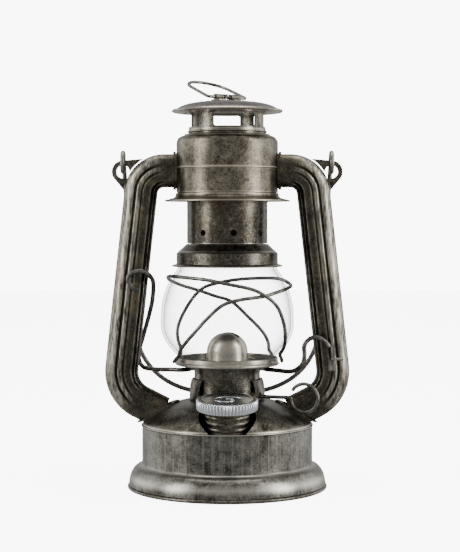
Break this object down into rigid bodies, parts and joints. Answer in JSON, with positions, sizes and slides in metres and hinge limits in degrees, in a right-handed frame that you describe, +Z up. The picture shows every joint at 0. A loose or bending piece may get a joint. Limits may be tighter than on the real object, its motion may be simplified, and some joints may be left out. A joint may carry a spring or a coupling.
{
  "type": "hurricane oil lantern",
  "caption": "Portable hurricane oil lamp with side air tubes, glass globe in a wire guard, lifting chimney, flat wick burner, screw filler cap and swinging bail.",
  "frame": {"origin": "middle of the base on the ground", "axes": "+Z up, -Y is the front with the filler cap, +X to the right of someone who faces the front"},
  "size_m": [0.1686, 0.1376, 0.2821],
  "materials": {
    "tank": "aged tinplate, vertical brush marks, dark spots",
    "tubes": "dark aged tinplate with worn ridges",
    "hood": "mottled brown-grey aged tinplate",
    "lid": "lighter satin aged tinplate",
    "chimney": "dark brown-grey heat-stained tinplate",
    "wire": "dark drawn steel wire",
    "zinc": "bright zinc plating",
    "nickel": "pale warm nickel plate",
    "brass": "dull brass",
    "glass": "clear glass",
    "cotton": "woven cotton wick",
    "gasket": "dull sealing ring"
  },
  "bodies": {
    "root": {"tank_shell": "tank", "tank_base": "tank", "tank_top": "tank", "air_duct": "tank", "filler_neck": "tank", "burner_collar": "chimney", "air_shield_left": "tank", "air_shield_right": "tank", "burner_body": "brass", "burner_deck": "brass", "burner_cone": "nickel", "wick_tube": "brass", "shaft_bush": "brass", "air_tube_left": "tubes", "air_tube_right": "tubes", "tube_foot_left": "tubes", "tube_foot_right": "tubes", "hood_flange_left": "tubes", "hood_flange_right": "tubes", "bail_ear_left": "tubes", "bail_ear_right": "tubes", "hood_shell": "hood", "hood_skirt": "hood", "hood_baffle": "chimney", "chimney_spring": "wire", "lever_latch": "zinc", "latch_pin": "zinc"},
    "bail": {"bail": "wire"},
    "globe_carriage": {"globe": "glass", "globe_plate": "nickel", "guard_wire_left": "wire", "guard_wire_right": "wire", "lift_lever": "wire", "lever_strap_left": "chimney", "lever_strap_right": "chimney"},
    "chimney": {"chimney_tube": "chimney", "globe_holder": "chimney", "vent_crown": "lid", "chimney_lid": "lid", "ring_knuckle_left": "lid", "ring_knuckle_right": "lid", "ring_spring": "wire"},
    "lift_ring": {"lift_ring": "wire"},
    "wick_shaft": {"wick_shaft": "wire", "wick_wheel_left": "brass", "wick_wheel_right": "brass"},
    "wick": {"wick": "cotton"},
    "cap_gasket": {"cap_gasket": "gasket"},
    "filler_cap": {"filler_cap": "zinc"}
  },
  "joints": [
    {"name": "bail_swing", "type": "hinge", "parent": "root", "child": "bail", "pos_m": [0, 0, 0.22382], "axis": [1, 0, 0], "range_deg": [0, 285]},
    {"name": "globe_lift", "type": "slide", "parent": "root", "child": "globe_carriage", "axis": [0, 0, 1], "range_m": [0, 0.012], "deforming": ["chimney_spring"]},
    {"name": "chimney_lift", "type": "slide", "parent": "globe_carriage", "child": "chimney", "axis": [0, 0, 1], "range_m": [0, 0.012], "deforming": ["chimney_spring"]},
    {"name": "ring_fold", "type": "hinge", "parent": "chimney", "child": "lift_ring", "pos_m": [0, 0, 0.2682], "axis": [0.788, 0.6157, 0], "range_deg": [0, 138]},
    {"name": "wick_knob_turn", "type": "hinge", "parent": "root", "child": "wick_shaft", "pos_m": [-0.00171, -0.0047, 0.0641], "axis": [0.9397, -0.342, 0], "range_deg": [0, 180]},
    {"name": "wick_rise", "type": "slide", "parent": "root", "child": "wick", "axis": [0, 0, 1], "range_m": [0, 0.0115]},
    {"name": "cap_travel", "type": "slide", "parent": "root", "child": "cap_gasket", "axis": [0, -0.1219, 0.9925], "range_m": [0, 0.00901]},
    {"name": "cap_turn", "type": "hinge", "parent": "cap_gasket", "child": "filler_cap", "pos_m": [0, -0.0425, 0.0452], "axis": [0, -0.1219, 0.9925], "range_deg": [0, 1080]}
  ],
  "couplings": [
    {"joint": "wick_rise", "follows": "wick_knob_turn", "m_per_rad": 0.0036},
    {"joint": "cap_travel", "follows": "cap_turn", "m_per_rad": 0.00047746}
  ]
}
